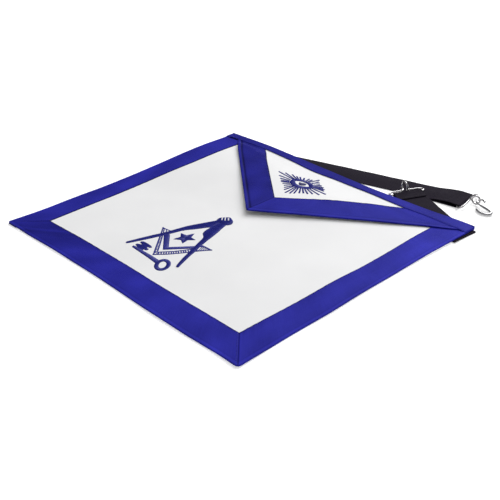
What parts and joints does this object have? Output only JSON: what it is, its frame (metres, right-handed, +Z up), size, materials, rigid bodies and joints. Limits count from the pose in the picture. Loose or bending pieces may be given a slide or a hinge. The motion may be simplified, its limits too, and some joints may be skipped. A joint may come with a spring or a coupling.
{
  "type": "masonic apron",
  "caption": "White leatherette lodge apron with blue ribbon borders, a triangular flap, embroidered tools and eye, and black webbing waist straps with wire bails and a snake hook.",
  "frame": {"origin": "centre of the object's box, on the surface that it lies on", "axes": "+X along the waist, towards the side where the strap ends lie; +Y from the bottom border towards the waist, in the plane of the apron; +Z up, out of the apron's front"},
  "size_m": [0.4118, 0.4284, 0.017],
  "materials": {
    "leather_white": "matt white leatherette with a fine grain",
    "ribbon_blue": "royal blue ribbed ribbon with a soft sheen",
    "thread_navy": "satin-stitched navy embroidery thread",
    "webbing_black": "finely ribbed black webbing",
    "steel_chrome": "bright plated steel wire"
  },
  "bodies": {
    "root": {"apron_panel": "leather_white", "flap_panel": "leather_white", "border_left": "ribbon_blue", "border_right": "ribbon_blue", "border_bottom": "ribbon_blue", "waist_binding": "ribbon_blue", "flap_border_left": "ribbon_blue", "flap_border_right": "ribbon_blue", "strap_long": "webbing_black", "strap_short": "webbing_black", "bail_long": "steel_chrome", "bail_short": "steel_chrome", "snake_hook": "steel_chrome", "emblem_square_compasses": "thread_navy", "emblem_star": "thread_navy", "emblem_key": "thread_navy", "emblem_eye": "thread_navy", "emblem_pupil": "thread_navy"}
  },
  "joints": []
}
